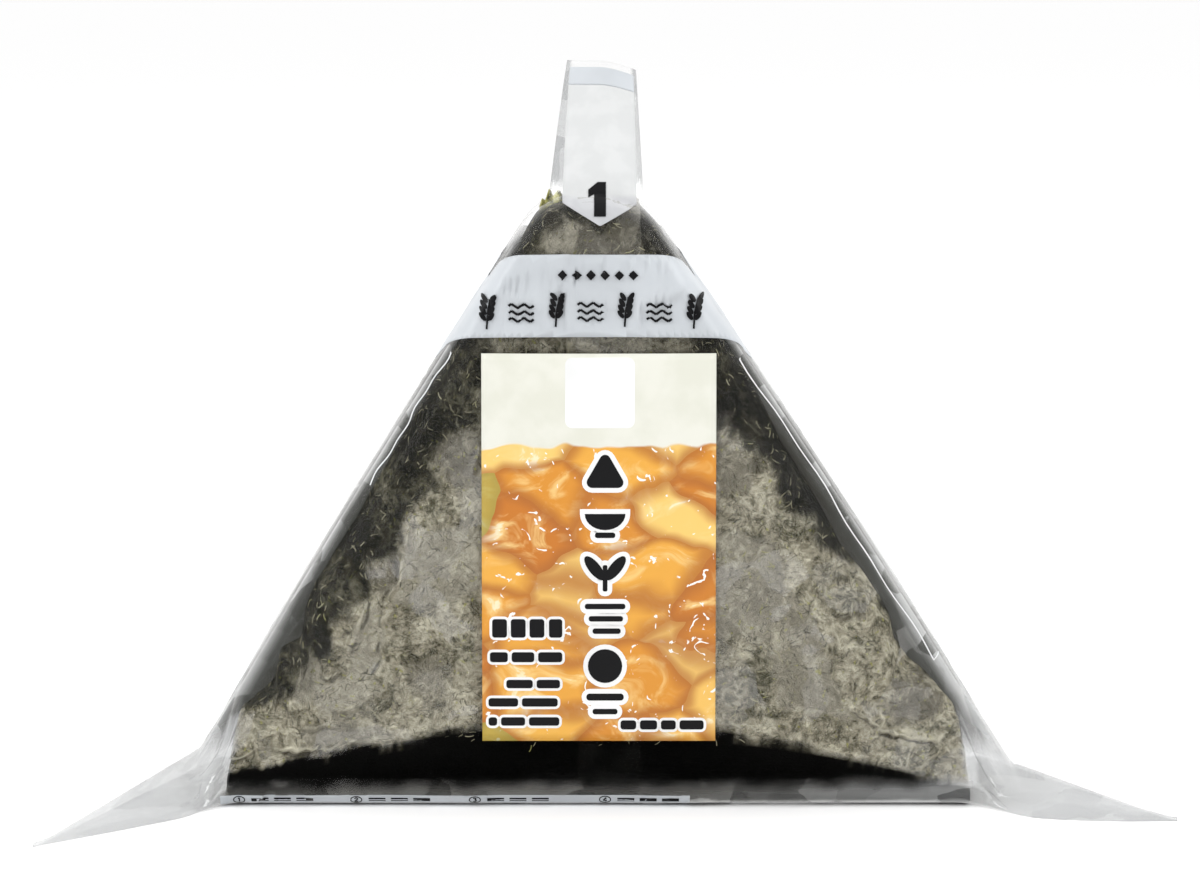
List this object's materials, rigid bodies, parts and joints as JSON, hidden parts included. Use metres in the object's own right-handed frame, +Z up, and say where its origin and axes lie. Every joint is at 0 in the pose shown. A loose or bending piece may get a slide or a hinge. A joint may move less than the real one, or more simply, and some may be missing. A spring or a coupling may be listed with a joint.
{
  "type": "wrapped triangular rice ball",
  "caption": "Seaweed-wrapped rice triangle sealed in clear film, standing on its base, with a pull flap at the peak, film ears at the lower corners and a paper sticker.",
  "frame": {"origin": "centre of the flat base, on the surface it stands on", "axes": "+Z up, the front with the sticker faces -Y, +X to the right seen from the front"},
  "size_m": [0.1439, 0.0527, 0.0957],
  "materials": {
    "film": "thin clear glossy film, slightly hazy where it stands off",
    "seaweed": "dark green-black dried seaweed sheet with fine pale fibres, low sheen",
    "film_print": "pale grey and white ink printed on the film, glossy",
    "label_paper": "semi-gloss printed paper sticker, cream above and amber below"
  },
  "bodies": {
    "root": {"wrapper": "film", "label": "label_paper"}
  },
  "joints": []
}
